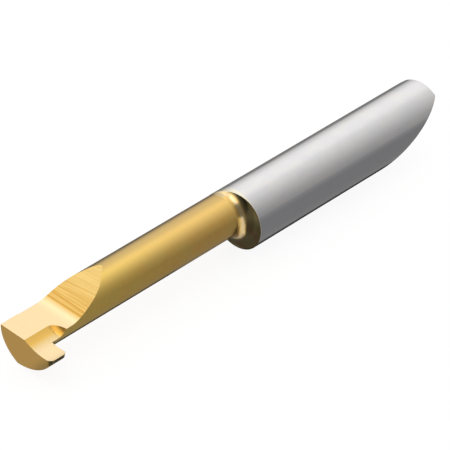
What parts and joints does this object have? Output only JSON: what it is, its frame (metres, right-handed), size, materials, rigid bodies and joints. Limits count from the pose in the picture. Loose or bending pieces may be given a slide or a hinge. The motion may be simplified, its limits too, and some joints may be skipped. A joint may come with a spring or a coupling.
{
  "type": "grooving insert",
  "caption": "Solid round-shank insert for turning grooves inside small bores, with a thin coated neck, a hooked cutting tooth and a slanted seat at the shank's end.",
  "frame": {"origin": "on the shank's axis, in the plane of the shoulder where the shank steps down to the neck", "axes": "+X along the shank's axis towards the head, +Y from the axis towards the cutting edge, +Z out of the rake side"},
  "size_m": [0.0504, 0.0062, 0.006],
  "materials": {
    "ground_carbide": "fine-ground cemented carbide, bare and bright grey on the shank, under a thin gold hard coating on the neck and head"
  },
  "bodies": {
    "root": {"grooving_insert": "ground_carbide"}
  },
  "joints": []
}
